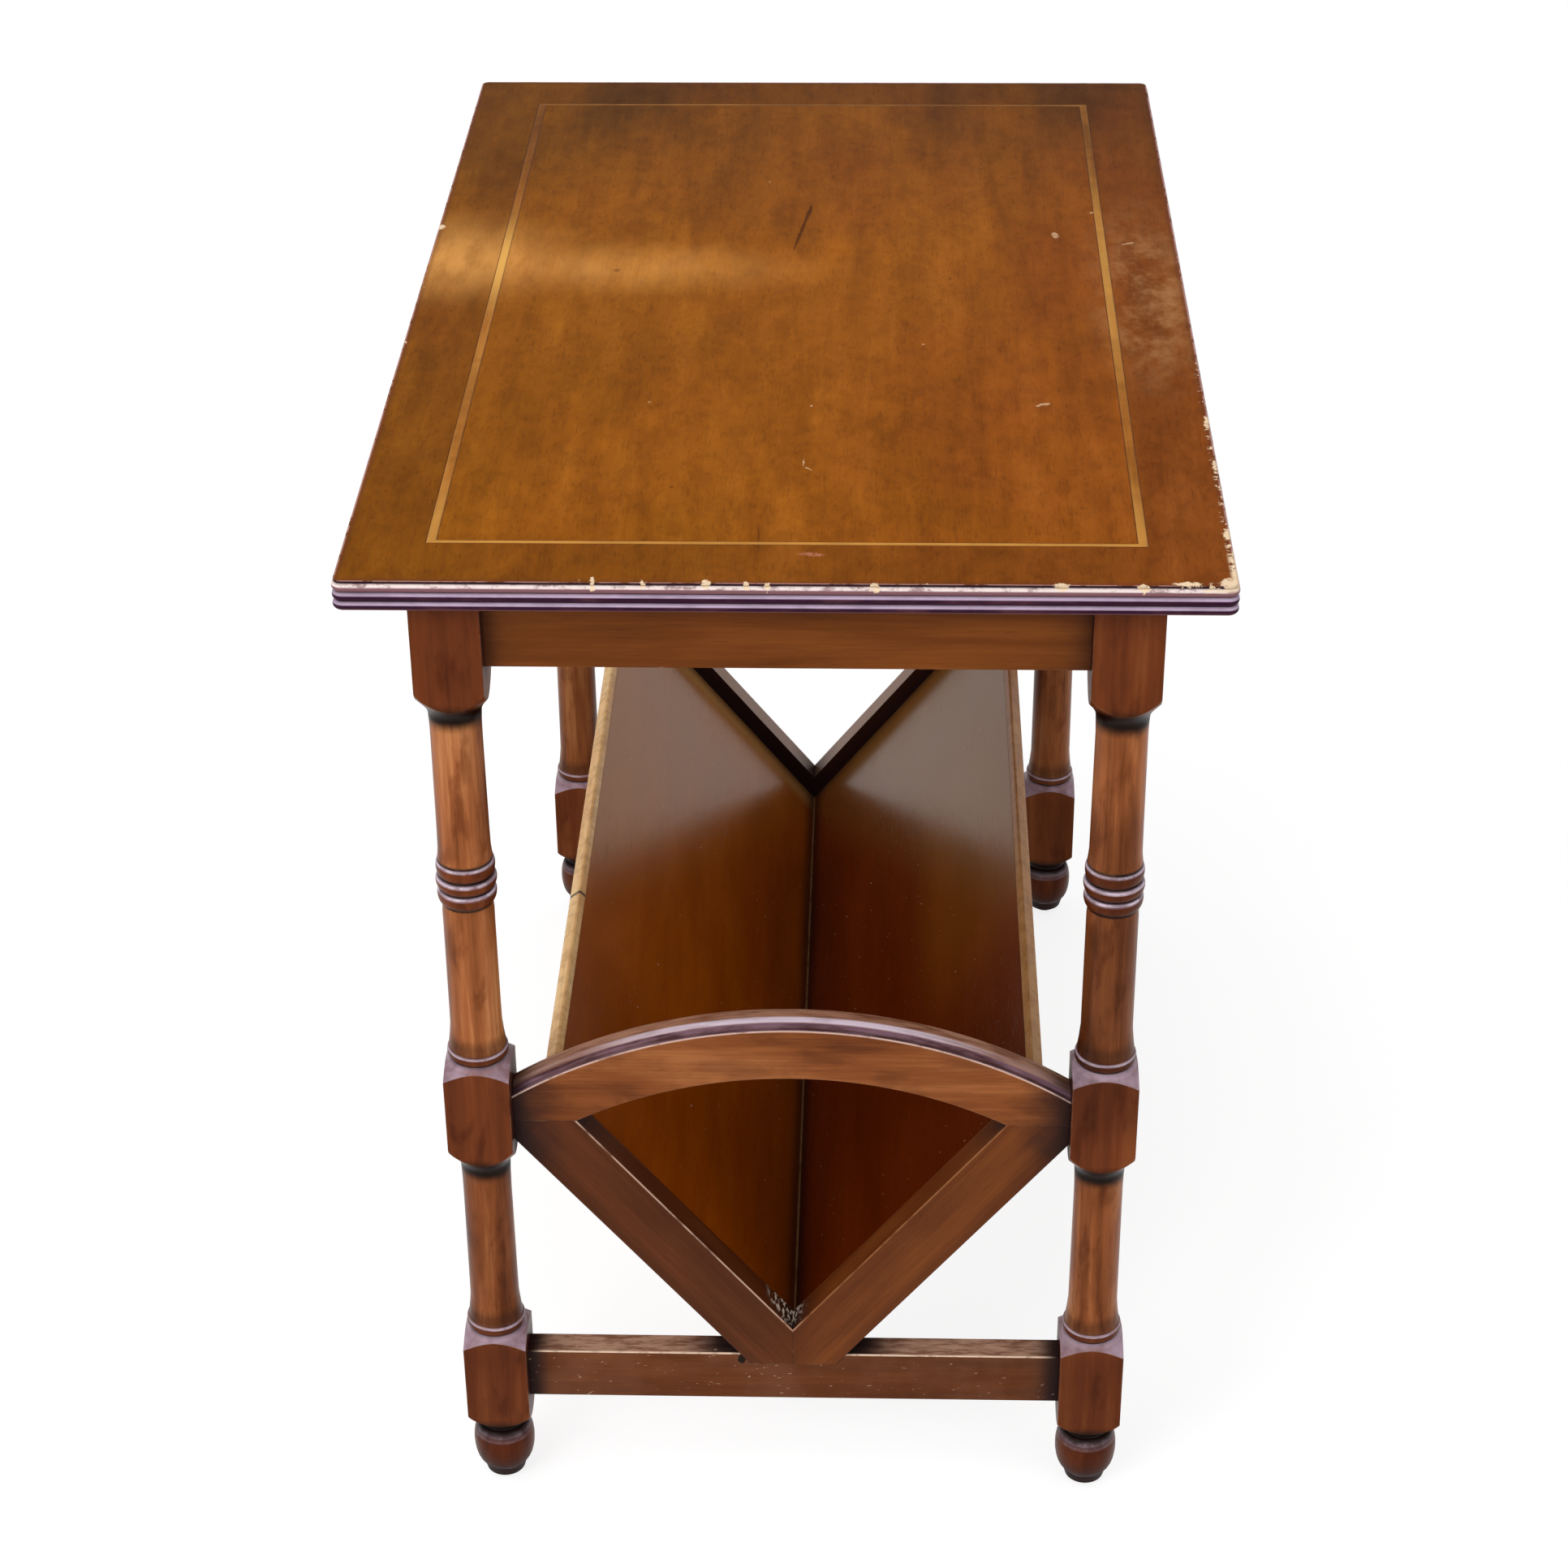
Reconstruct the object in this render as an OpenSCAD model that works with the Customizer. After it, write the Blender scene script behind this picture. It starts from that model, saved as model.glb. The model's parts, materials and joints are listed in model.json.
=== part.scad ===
// Magazine rack side table: a reeded and strung top on four turned legs,
// with a V-shaped magazine trough slung between two arched end frames.
// Millimetres. X is the width, Y the length, Z up from the floor; the origin
// is on the floor under the middle of the top. The front end is towards -Y.

/* [Top] */
// Height of the table, floor to top surface
table_h = 535; // [500:1:600]
// Width of the top, side to side
top_w = 381; // [340:1:450]
// Length of the top, end to end
top_l = 610; // [520:1:720]
// Thickness of the top board
top_t = 14; // [12:0.5:20]
// Number of reeds round the edge
reed_count = 3; // [2:1:4]
// How far the reeds stand out of the edge
reed_depth = 2; // [1:0.25:3]
// Height of the plain step above the reeds
arris_h = 1; // [0.5:0.25:2]
// How far the plain step sits behind the reeds
arris_in = 1; // [0.5:0.25:2]
// Radius of the corners of the top in plan
corner_r = 5; // [4:0.5:12]

/* [Stringing] */
// Distance from the edge of the top to the stringing
string_in = 36.5; // [25:0.5:60]
// Width of the stringing along the sides
string_side_w = 4; // [2:0.5:8]
// Width of the stringing across the ends
string_end_w = 2.5; // [1.5:0.5:8]
// Depth of the stringing
string_t = 1.2; // [0.8:0.2:2]

/* [Legs] */
// Side of the square leg stock
leg_s = 31; // [28:0.5:36]
// How far the top overhangs the legs
overhang = 27.5; // [15:0.5:40]
// Height of the floor end of the lower square
lower_block_z = 48.5; // [44:0.5:60]
// Height of the lower square
lower_block_h = 41.7; // [36:0.1:58]
// Height of the floor end of the middle square
middle_block_z = 216.5; // [190:0.5:217]
// Height of the middle square
middle_block_h = 37.9; // [36:0.1:53]
// Height of the upper square, down from the top board
upper_block_h = 54; // [50:0.5:72]
// Radius of the leg under the upper square
shaft_top_r = 11.7; // [10:0.1:12.5]
// Radius of the leg above the rings
shaft_ring_r = 12.1; // [11:0.1:13]
// Radius of the leg above the middle square
shaft_mid_r = 12.2; // [11:0.1:13.4]
// Radius of the leg above the lower square
shaft_low_r = 12; // [11:0.1:13.2]
// Radius of the largest of the three rings
ring_r = 14.1; // [13.6:0.1:15.4]
// Height of the lowest ring above the middle square
ring_up = 95; // [50:0.5:110]
// Radius of the bead above each square
bead_r = 14.5; // [14:0.1:15.4]
// Largest radius of the foot
foot_r = 15.3; // [13:0.1:16]
// Radius of the flat that stands on the floor
foot_flat_r = 6.2; // [4:0.1:8]

/* [Aprons] */
// Height of the aprons
apron_h = 46; // [40:0.5:60]
// Thickness of the aprons
apron_t = 15; // [12:0.5:18]
// How far the rails sit back from the faces of the legs
setback = 8; // [5:0.5:9]
// Length of the tenons on the aprons and stretchers
tenon_l = 11; // [8:0.5:11.5]
// Thickness of the tenons
tenon_t = 7; // [5:0.5:8]
// Shoulder above and below each tenon
tenon_shoulder = 6; // [3:0.5:9]

/* [Stretchers] */
// Height of the underside of the stretchers
stretcher_z = 55.5; // [54:0.5:60]
// Height of a stretcher, underside to top
stretcher_h = 28.5; // [24:0.5:30]
// Thickness of a stretcher
stretcher_t = 13; // [11:0.5:15]
// Depth of the notch that takes the foot of the V
notch_d = 6.5; // [4:0.5:8]
// Gap each side of the foot of the V in its notch
notch_gap = 0.2; // [0.1:0.1:2]

/* [End frames] */
// Thickness of the end frames
frame_t = 15; // [13:0.5:16]
// Width of the rails of the V
rail_w = 30.2; // [26:0.2:32]
// Height where the undersides of the V meet the legs
rail_meet_z = 216.5; // [216:0.5:220]
// Height where the undersides of the V would cross
rail_root_z = 51; // [46:0.5:58]
// Height of the crown of the arch, under its moulding
arch_crown_z = 281; // [275:0.5:300]
// Height where the arch meets the legs
arch_spring_z = 241.3; // [240:0.1:248]
// Width of the arched rail
arch_w = 27.5; // [26:0.5:30]
// Height of the moulding on the arch
mould_h = 2; // [1:0.25:3]
// Flat in front of the moulding on the arch
mould_flat = 2.5; // [1:0.25:5]

/* [Trough] */
// Thickness of the trough boards
panel_t = 7.5; // [6:0.5:9]
// How far the V rails stand proud of the trough boards
panel_drop = 9.3; // [6:0.1:11]
// How deep the boards are housed in the V rails
housing_d = 4; // [2:0.5:6]
// Thickness of the lipping on the upper edges of the boards
lipping_t = 4.3; // [3:0.1:6]

/* [Fixings] */
// Radius of the dowels
dowel_r = 3; // [2.5:0.5:3.5]
// Length of a dowel
dowel_l = 20; // [14:1:20]
// Side of the glue blocks under the top
block_s = 18; // [15:1:22]
// Length of a glue block
block_l = 50; // [30:1:80]
// Radius of the screws
screw_r = 2; // [1.5:0.25:2.5]
// How far the screws go into the top board or the V rails
screw_bite = 9; // [6:0.5:10]

/* [Hidden] */

$fn = 64;
fit = 0.1;          // clearance of a tenon, dowel or screw in its hole
overcut = 1;        // how far a cutter runs past a face

// Wood colours
mahogany = [0.50, 0.27, 0.10];
dark_mahogany = [0.38, 0.18, 0.09];
trough_brown = [0.33, 0.14, 0.05];
boxwood = [0.78, 0.55, 0.25];
bare_wood = [0.80, 0.62, 0.42];
softwood = [0.76, 0.62, 0.42];
steel = [0.60, 0.60, 0.62];

// Levels and centre lines
under_top = table_h - top_t;
leg_x = top_w / 2 - overhang - leg_s / 2;
leg_y = top_l / 2 - overhang - leg_s / 2;
span_x = leg_x - leg_s / 2;         // half the gap between the left and right legs
span_y = leg_y - leg_s / 2;         // half the gap between the front and back legs
face_y = leg_y + leg_s / 2 - setback;   // outer faces of the rails at the ends
face_x = leg_x + leg_s / 2 - setback;   // outer faces of the rails at the sides
apron_z = under_top - apron_h;
stretcher_top = stretcher_z + stretcher_h;
frame_y = face_y - frame_t / 2;     // middle of an end frame
frame_in = face_y - frame_t;        // inner face of an end frame
stretcher_y = face_y - stretcher_t / 2;
fixing_y = frame_in + (frame_t + housing_d) / 2;    // dowels and screws of an end frame
tenon_reach = min(tenon_l, (leg_s - tenon_t) / 2 - 1);

// Edge of the top and the stringing
core_x = top_w / 2 - corner_r;
core_y = top_l / 2 - corner_r;
reed_pitch = (top_t - arris_h) / reed_count;
reed_r = (pow(reed_pitch / 2, 2) + pow(reed_depth, 2)) / (2 * reed_depth);
string_x = top_w / 2 - string_in;
string_y = top_l / 2 - string_in;

// Turned profile of a leg
stock_r = leg_s / sqrt(2) + 0.2;    // just outside the corners of the stock
neck_r = 12;        // under a pommel
pommel_h = 18.5;    // from the neck to the corner of the square
foot_pommel_h = 14.5;
foot_neck_r = 11.8;
foot_belly = 0.52;  // how far up the foot its largest radius is
shoulder_r = 15.2;  // where a shoulder turns up towards its quirk
shoulder_turn_h = 5;
shoulder_h = 7.8;   // from the corner of the square up to the quirk
quirk = 0.4;        // plain gap under each bead
bead_h = 4.9;
bead_base_r = 13.5;
foot_base_r = 11;   // under the swelling of the foot
foot_cone_r = 11.4;
foot_cone_z = 8.4;
foot_toe_r = 9.8;   // where the cone turns in to the flat
foot_toe_z = 2.8;
ring_heights = [7.3, 6.4, 7.2];     // lowest ring first
ring_shrink = [0.4, 0, 0.5];        // how much smaller each ring is
ring_neck_step = 0.2;               // the necks under the rings grow by this
ring_gap = 0.5;
ring_belly = 0.6;
ring_spread = 0.6;  // how far the shaft spreads above the rings
bead_spread = 1.2;  // how far the shaft spreads above a bead
hollow_z = [10, 6, 8];              // straight parts end this far off a neck or ring
hollow_in = 0.3;
flare_shape = [[1, 1.5], [0.45, 6], [0, 11]];   // share of the spread, height per spread
bead_steps = 12;
pommel_steps = 12;

foot_top_z = lower_block_z - foot_pommel_h;

// The V and the arch of an end frame
rail_slope = (rail_meet_z - rail_root_z) / span_x;
rail_angle = atan(rail_slope);
apex_z = rail_root_z + rail_w / cos(rail_angle);    // inner corner of the V
arch_rise = arch_crown_z - arch_spring_z;
arch_r = (pow(span_x, 2) + pow(arch_rise, 2)) / (2 * arch_rise);
arch_cz = arch_crown_z - arch_r;
arch_in_r = arch_r - arch_w;
joint_b = rail_slope * (apex_z - arch_cz);
joint_a = 1 + pow(rail_slope, 2);
joint_c = pow(apex_z - arch_cz, 2) - pow(arch_in_r, 2);
joint_x = (-joint_b + sqrt(pow(joint_b, 2) - joint_a * joint_c)) / joint_a;
joint_z = apex_z + rail_slope * joint_x;            // where the arch sits on the V
notch_z = stretcher_top - notch_d;
notch_x = (stretcher_top - rail_root_z) / rail_slope + notch_gap;   // half width at its mouth
notch_floor_x = notch_x - notch_d / rail_slope;
arch_dowel_x = (joint_x + span_x) / 2 - dowel_l / 4;
frame_screw_x = notch_x / 2.5;
mould_roll = 4;     // depth of the rounded part of the moulding on the arch
mould_steps = 8;

// The trough boards, measured down the slope from the valley
valley_z = apex_z - panel_drop / cos(rail_angle);
board_l = (joint_z - 1 - valley_z) / sin(rail_angle);
valley_flat_z = notch_z + 2;        // the sharp underside of the valley is planed off here
lipping_round = 0.8;                // worn edges of the lipping

// Glue blocks and screws
block_side_y = span_y / 2;
block_z = under_top - block_s;
screw_head_r = screw_r * 2;
screw_head_h = screw_r * 1.2;
slot_w = 0.9;       // slot in a screw head
slot_d = 1;

// Middles of the glue blocks: place in x, place in y, size in x, size in y
block_places = [
    [0, -(face_y - apron_t - block_s / 2), block_l, block_s],
    [0, face_y - apron_t - block_s / 2, block_l, block_s],
    [-(face_x - apron_t - block_s / 2), -block_side_y, block_s, block_l],
    [-(face_x - apron_t - block_s / 2), block_side_y, block_s, block_l],
    [face_x - apron_t - block_s / 2, -block_side_y, block_s, block_l],
    [face_x - apron_t - block_s / 2, block_side_y, block_s, block_l]
];

// A half-round swelling on the turned profile, from z up
function bead(z, h, base_r, r, belly = 0.5) = [
    for (i = [0:bead_steps])
        let (a = -90 + 180 * i / bead_steps)
            [base_r + (r - base_r) * cos(a), z + h * (belly + (a < 0 ? belly : 1 - belly) * sin(a))]
];

// The double curve from a neck out to the corners of a square
function pommel(z, h, r) = [
    for (i = [0:pommel_steps])
        let (t = i / pommel_steps)
            [r + (stock_r - r) * (1 - cos(180 * t)) / 2, z + h * t]
];

function ring_z(i) = i == 0 ? middle_block_z + middle_block_h + ring_up
    : ring_z(i - 1) + ring_heights[i - 1] + ring_gap;

// The foot of a shaft, spreading a little above a bead or ring
function flare(z, r, spread) = [for (p = flare_shape) [r + spread * p[0], z + spread * p[1]]];

// From the corner of a square up through its shoulder and bead to the shaft
function shoulder_bead(z, shaft_r) = concat(
    [[stock_r, z], [shoulder_r, z + shoulder_turn_h], [bead_base_r, z + shoulder_h]],
    bead(z + shoulder_h + quirk, bead_h, bead_base_r, bead_r),
    flare(z + shoulder_h + quirk + bead_h, shaft_r, bead_spread)
);

function foot_points() = concat(
    [[0, 0], [foot_flat_r, 0], [foot_toe_r, foot_toe_z], [foot_cone_r, foot_cone_z]],
    bead(foot_cone_z + ring_gap, foot_top_z - foot_cone_z - ring_gap, foot_base_r, foot_r, foot_belly),
    pommel(foot_top_z + ring_gap, foot_pommel_h - ring_gap, foot_neck_r)
);

function ring_points() = [
    for (i = [0:len(ring_heights) - 1])
        each bead(ring_z(i), ring_heights[i], neck_r + i * ring_neck_step, ring_r - ring_shrink[i],
            ring_belly)
];

module leg_profile() {
    rings_top = ring_z(2) + ring_heights[2];
    middle_neck_z = middle_block_z - pommel_h;
    upper_neck_z = under_top - upper_block_h - pommel_h;
    polygon(concat(
        foot_points(),
        shoulder_bead(lower_block_z + lower_block_h, shaft_low_r),
        [[shaft_top_r, middle_neck_z - hollow_z[0]]],
        pommel(middle_neck_z, pommel_h, neck_r),
        shoulder_bead(middle_block_z + middle_block_h, shaft_mid_r),
        [[neck_r, ring_z(0) - hollow_z[1]], [neck_r - hollow_in, ring_z(0) - ring_gap]],
        ring_points(),
        flare(rings_top, shaft_ring_r, ring_spread),
        [[shaft_top_r, upper_neck_z - hollow_z[2]]],
        pommel(upper_neck_z, pommel_h, neck_r),
        [[stock_r, under_top], [0, under_top]]
    ));
}

// A cube centred on x and y, standing on z
module block(x, y, z, w, l, h) {
    translate([x - w / 2, y - l / 2, z]) cube([w, l, h]);
}

// Dowel or screw shank along +X from its start
module bar_x(x, y, z, l, r) {
    translate([x, y, z]) rotate([0, 90, 0]) cylinder(h = l, r = r);
}

module bar_z(x, y, z, l, r) {
    translate([x, y, z]) cylinder(h = l, r = r);
}

// Mirrors what is modelled at +X, +Y to the chosen side and end
module placed(side, end) {
    scale_x = side < 0 ? 1 : 0;
    scale_y = end < 0 ? 1 : 0;
    mirror([scale_x, 0, 0]) mirror([0, scale_y, 0]) children();
}

// Profile of the edge of the top, out from a line corner_r inside the edge
module edge_profile() {
    square([corner_r - reed_depth, top_t]);
    translate([0, top_t - arris_h]) square([corner_r - arris_in, arris_h]);
    intersection() {
        square([corner_r, top_t - arris_h]);
        for (i = [0:reed_count - 1])
            translate([corner_r - reed_r, reed_pitch * (i + 0.5)]) circle(r = reed_r);
    }
}

module edge_run(l) {
    rotate([90, 0, 0]) linear_extrude(l) edge_profile();
}

module top_blank() {
    block(0, 0, under_top, 2 * core_x, 2 * core_y, top_t);
    for (s = [0, 1]) {
        rotate([0, 0, 180 * s]) translate([core_x, core_y, under_top]) edge_run(2 * core_y);
        rotate([0, 0, 90 + 180 * s]) translate([core_y, core_x, under_top]) edge_run(2 * core_x);
    }
    for (s = [0, 1], e = [0, 1])
        mirror([s, 0, 0]) mirror([0, e, 0]) translate([core_x, core_y, under_top])
            rotate_extrude(angle = 90) edge_profile();
}

// One run of stringing of the given outer half length and width, at a distance out from the
// middle, mitred to runs of another width
module string_run(half_l, out, w, other_w) {
    translate([0, 0, table_h - string_t]) linear_extrude(string_t)
        polygon([[-half_l, out], [half_l, out], [half_l - other_w, out - w],
            [-half_l + other_w, out - w]]);
}

module string_groove() {
    difference() {
        block(0, 0, table_h - string_t, 2 * string_x, 2 * string_y, string_t + overcut);
        block(0, 0, table_h - string_t - overcut, 2 * (string_x - string_side_w),
            2 * (string_y - string_end_w), string_t + 3 * overcut);
    }
}

module top_board() {
    color(mahogany) difference() {
        top_blank();
        string_groove();
        for (p = block_places)
            bar_z(p[0], p[1], under_top - overcut, screw_bite + fit + overcut, screw_r + fit);
    }
}

module stringing_end(end) {
    color(boxwood) mirror([0, end < 0 ? 1 : 0, 0])
        string_run(string_x, string_y, string_end_w, string_side_w);
}

module stringing_side(side) {
    color(boxwood) rotate([0, 0, -side * 90])
        string_run(string_y, string_x, string_side_w, string_end_w);
}

// Tenons of an apron or stretcher, grown by a clearance for the mortise
module end_tenon(z, h, y, gap) {
    block(span_x + tenon_reach / 2, y, z + tenon_shoulder - gap, tenon_reach + 2 * gap,
        tenon_t + 2 * gap, h - 2 * tenon_shoulder + 2 * gap);
}

module side_tenon(gap) {
    block(leg_x, span_y + tenon_reach / 2, apron_z + tenon_shoulder - gap, tenon_t + 2 * gap,
        tenon_reach + 2 * gap, apron_h - 2 * tenon_shoulder + 2 * gap);
}

// Heights of the two dowels that hold each side of an end frame to its leg
leg_dowel_z = [(rail_meet_z + joint_z) / 2, (joint_z + arch_spring_z) / 2];

module leg_dowels(gap) {
    for (z = leg_dowel_z)
        bar_x(span_x - dowel_l / 2 - gap, fixing_y, z, dowel_l + 2 * gap, dowel_r + gap);
}

module arch_dowel(gap) {
    bar_z(arch_dowel_x, fixing_y, joint_z - dowel_l / 2 - gap, dowel_l + 2 * gap, dowel_r + gap);
}

module leg(side, end) {
    color(dark_mahogany) placed(side, end) difference() {
        intersection() {
            translate([leg_x, leg_y, 0]) rotate_extrude() leg_profile();
            block(leg_x, leg_y, 0, leg_s, leg_s, under_top);
        }
        end_tenon(apron_z, apron_h, leg_y, fit);
        side_tenon(fit);
        end_tenon(stretcher_z, stretcher_h, stretcher_y, fit);
        leg_dowels(fit);
    }
}

module apron_end(end) {
    color(dark_mahogany) placed(1, end) {
        block(0, face_y - apron_t / 2, apron_z, 2 * span_x, apron_t, apron_h);
        for (s = [0, 1])
            mirror([s, 0, 0]) end_tenon(apron_z, apron_h, leg_y, 0);
    }
}

module apron_side(side) {
    color(dark_mahogany) placed(side, 1) {
        block(face_x - apron_t / 2, 0, apron_z, apron_t, 2 * span_y, apron_h);
        for (e = [0, 1])
            mirror([0, e, 0]) side_tenon(0);
    }
}

// A countersunk screw, or the hole it sits in when the gap isn't nothing
module screw(x, y, z, l, gap) {
    difference() {
        union() {
            bar_z(x, y, z, l, screw_r + gap);
            translate([x, y, z - gap])
                cylinder(h = screw_head_h + gap, r1 = screw_head_r + gap, r2 = screw_r + gap);
        }
        if (gap == 0)
            block(x, y, z - overcut, 2 * screw_head_r + overcut, slot_w, slot_d + overcut);
    }
}

// Screw up into the foot of each V rail, its head let into the stretcher
module frame_screw(gap) {
    screw(frame_screw_x, fixing_y, stretcher_z, apex_z - screw_bite / 2 - stretcher_z, gap);
}

// The notch in a stretcher, its sides sloped as the rails of the V
module notch_shape() {
    mouth_x = notch_x + overcut / rail_slope;
    mouth_z = stretcher_top + overcut;
    polygon([[-notch_floor_x, notch_z], [notch_floor_x, notch_z], [mouth_x, mouth_z],
        [-mouth_x, mouth_z]]);
}

module stretcher(end) {
    color(dark_mahogany) placed(1, end) difference() {
        union() {
            block(0, stretcher_y, stretcher_z, 2 * span_x, stretcher_t, stretcher_h);
            for (s = [0, 1])
                mirror([s, 0, 0]) end_tenon(stretcher_z, stretcher_h, stretcher_y, 0);
        }
        upright(frame_in, frame_t + overcut) notch_shape();
        for (s = [0, 1])
            mirror([s, 0, 0]) frame_screw(fit);
    }
}

// Section of the arched rail: radius out from the centre, and depth from the back face
module arch_section() {
    roll = frame_t - mould_flat;
    polygon(concat(
        [[arch_in_r, 0], [arch_r + mould_h, 0]],
        [for (i = [0:mould_steps]) let (a = 90 * i / mould_steps)
            [arch_r + mould_h * cos(a), roll - mould_roll + mould_roll * sin(a)]],
        [[arch_r, frame_t], [arch_in_r, frame_t]]
    ));
}

module arch_rail(end) {
    color(dark_mahogany) placed(1, end) difference() {
        intersection() {
            translate([0, frame_in, arch_cz]) rotate([-90, 0, 0]) rotate_extrude() arch_section();
            block(0, frame_y, joint_z, 2 * span_x, frame_t + 2 * overcut,
                arch_crown_z + mould_h + overcut - joint_z);
        }
        for (s = [0, 1])
            mirror([s, 0, 0]) {
                leg_dowels(fit);
                arch_dowel(fit);
            }
    }
}

// One rail of the V, from the middle of the notch up to the arch and the leg
module v_rail_shape() {
    foot_x = (notch_z - rail_root_z) / rail_slope;
    polygon([[0, notch_z], [foot_x, notch_z], [span_x, rail_meet_z], [span_x, joint_z],
        [joint_x, joint_z], [0, apex_z]]);
}

module upright(y0, depth) {
    translate([0, y0 + depth, 0]) rotate([90, 0, 0]) linear_extrude(depth) children();
}

// Section of a trough board across the table
module board_shape() {
    s = sin(rail_angle);
    c = cos(rail_angle);
    flat_x = (valley_flat_z - valley_z + panel_t / c) / rail_slope;
    polygon([[0, valley_flat_z], [flat_x, valley_flat_z],
        [board_l * c + panel_t * s, valley_z + board_l * s - panel_t * c],
        [board_l * c, valley_z + board_l * s], [0, valley_z]]);
}

module v_rail(side, end) {
    color(dark_mahogany) placed(side, end) difference() {
        upright(frame_in, frame_t) v_rail_shape();
        upright(frame_in - overcut, housing_d + overcut) board_shape();
        leg_dowels(fit);
        arch_dowel(fit);
        frame_screw(fit);
    }
}

module trough_board(side) {
    half_l = frame_in + housing_d;
    color(trough_brown) placed(side, 1) upright(-half_l, 2 * half_l) board_shape();
}

module lipping(side) {
    s = sin(rail_angle);
    c = cos(rail_angle);
    color(bare_wood) placed(side, 1) upright(-frame_in, 2 * frame_in)
        translate([board_l * c, valley_z + board_l * s]) rotate(rail_angle)
            polygon([[0, -panel_t], [lipping_t - lipping_round, -panel_t],
                [lipping_t, -panel_t + lipping_round], [lipping_t, -lipping_round],
                [lipping_t - lipping_round, 0], [0, 0]]);
}

module glue_block(i) {
    p = block_places[i];
    color(softwood) difference() {
        block(p[0], p[1], block_z, p[2], p[3], block_s);
        top_screw(i, fit);
    }
}

module top_screw(i, gap) {
    screw(block_places[i][0], block_places[i][1], block_z, block_s + screw_bite, gap);
}

module dowels(end) {
    color(softwood) placed(1, end)
        for (s = [0, 1])
            mirror([s, 0, 0]) {
                leg_dowels(0);
                arch_dowel(0);
            }
}

module top_screws() {
    color(steel)
        for (i = [0:len(block_places) - 1])
            top_screw(i, 0);
}

module frame_screws() {
    color(steel)
        for (e = [-1, 1], s = [0, 1])
            placed(1, e) mirror([s, 0, 0]) frame_screw(0);
}

top_board();
stringing_end(-1);  // stringing_front
stringing_end(1);  // stringing_back
stringing_side(-1);  // stringing_left
stringing_side(1);  // stringing_right
leg(-1, -1);  // leg_front_left
leg(1, -1);  // leg_front_right
leg(-1, 1);  // leg_back_left
leg(1, 1);  // leg_back_right
apron_end(-1);  // apron_front
apron_end(1);  // apron_back
apron_side(-1);  // apron_left
apron_side(1);  // apron_right
stretcher(-1);  // stretcher_front
stretcher(1);  // stretcher_back
arch_rail(-1);  // arch_rail_front
arch_rail(1);  // arch_rail_back
v_rail(-1, -1);  // v_rail_front_left
v_rail(1, -1);  // v_rail_front_right
v_rail(-1, 1);  // v_rail_back_left
v_rail(1, 1);  // v_rail_back_right
trough_board(-1);  // trough_board_left
trough_board(1);  // trough_board_right
lipping(-1);  // lipping_left
lipping(1);  // lipping_right
glue_block(0);  // glue_block_front
glue_block(1);  // glue_block_back
glue_block(2);  // glue_block_left_front
glue_block(3);  // glue_block_left_back
glue_block(4);  // glue_block_right_front
glue_block(5);  // glue_block_right_back
dowels(-1);  // dowels_front
dowels(1);  // dowels_back
top_screws();
frame_screws();
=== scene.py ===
"""Looks of the magazine rack side table: woods and their wear, floor, studio lights and camera."""

import json
import math

import bpy
from mathutils import Matrix, Vector


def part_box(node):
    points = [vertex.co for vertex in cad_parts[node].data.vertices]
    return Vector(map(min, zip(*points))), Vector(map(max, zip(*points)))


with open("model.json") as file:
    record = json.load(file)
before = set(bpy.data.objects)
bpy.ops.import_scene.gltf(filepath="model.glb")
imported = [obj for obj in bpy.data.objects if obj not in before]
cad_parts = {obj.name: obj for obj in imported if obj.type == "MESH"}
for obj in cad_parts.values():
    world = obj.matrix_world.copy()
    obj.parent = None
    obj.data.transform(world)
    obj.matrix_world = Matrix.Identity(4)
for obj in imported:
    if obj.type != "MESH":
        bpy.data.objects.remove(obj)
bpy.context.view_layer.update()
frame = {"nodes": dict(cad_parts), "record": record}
NODES = frame["nodes"]

# Camera, fitted to the photograph: lens in millimetres, place in metres, angles in degrees
LENS = 76.78
CAMERA_AT = (0.0400, -1.5363, 1.1932)
PITCH_DOWN = 31.517
YAW = -1.889
ROLL = -0.544

# Places on the table that the finishes follow, in metres
TOP_X, TOP_Y, TOP_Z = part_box("top_board")[1]
TOP_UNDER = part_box("top_board")[0].z
REEDS = 3
ARRIS = 0.001
REED_PITCH = (TOP_Z - TOP_UNDER - ARRIS) / REEDS
FIRST_REED_FOOT = TOP_Z - ARRIS - REED_PITCH
STRING_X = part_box("stringing_right")[1].x
STRING_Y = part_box("stringing_back")[1].y
STRING_SIDE = STRING_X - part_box("stringing_right")[0].x
STRING_END = STRING_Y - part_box("stringing_back")[0].y
FRAME_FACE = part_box("arch_rail_back")[1].y
FRAME_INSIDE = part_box("arch_rail_back")[0].y
ARCH_CENTRE_Z = 0.0417
ARCH_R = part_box("arch_rail_front")[1].z - ARCH_CENTRE_Z
STRETCHER_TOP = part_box("stretcher_front")[1].z

# The V: how steep its sides are, and the height of its inner corner
RAIL_ANGLE = math.radians(51.43)
APEX_Z = 0.0994

# Heights on a turned leg: one for a place, or where a stretch begins and ends
NECKS = (0.034, 0.198, 0.4485)
SHAFT_FOOT = (0.103, 0.2671)
QUIRKS = (0.0982, 0.2624, 0.3492, 0.35695, 0.36385, 0.3715)
DARK_TURNING = ((-1.0, 0.034), (0.033, 0.103), (0.200, 0.2673), (0.3487, 0.3715), (0.4505, 0.521))
BEADS = ((0.0984, 0.103), (0.2626, 0.2672), (0.3494, 0.3566), (0.3571, 0.3635), (0.364, 0.3712))

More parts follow.
